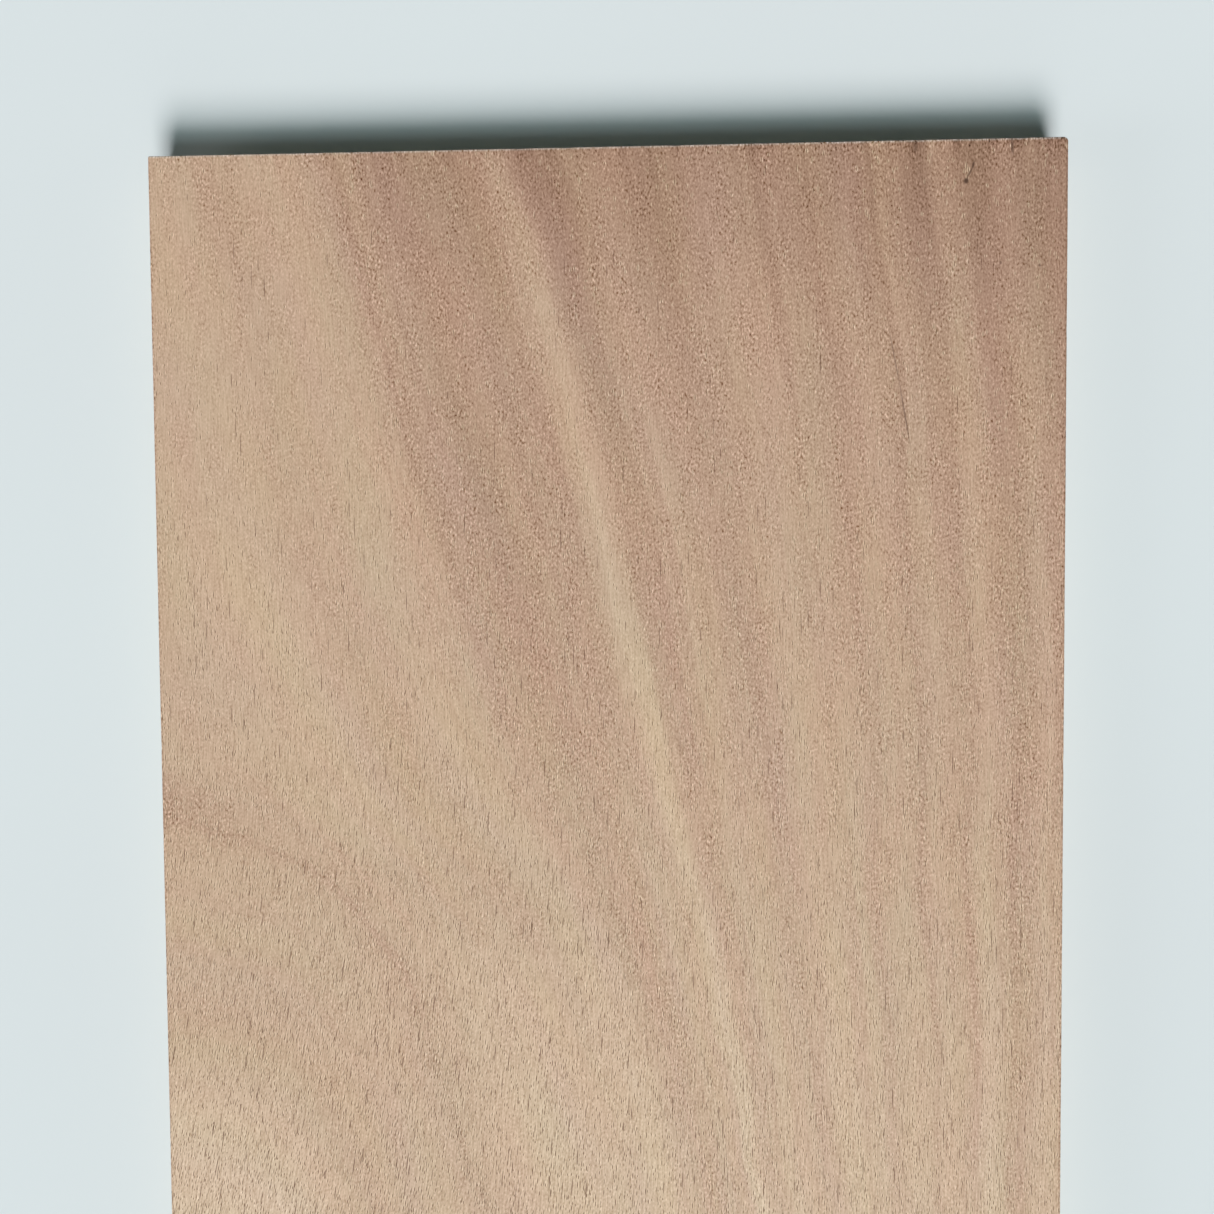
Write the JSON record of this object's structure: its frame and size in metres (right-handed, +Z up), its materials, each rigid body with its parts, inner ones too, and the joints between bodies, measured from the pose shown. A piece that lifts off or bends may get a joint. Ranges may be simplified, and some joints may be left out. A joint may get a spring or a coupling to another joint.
{
  "type": "plywood sheet",
  "caption": "Flat rectangular plywood sheet with sanded faces and sawn edges, for shelves, small panels, backings or cutting up.",
  "frame": {"origin": "middle of the underside", "axes": "+X across the face grain, +Y along the face grain, +Z up out of the show face"},
  "size_m": [0.3, 0.6, 0.018],
  "materials": {
    "plywood": "sanded bare veneer, open pores"
  },
  "bodies": {
    "root": {"plywood_sheet": "plywood"}
  },
  "joints": []
}
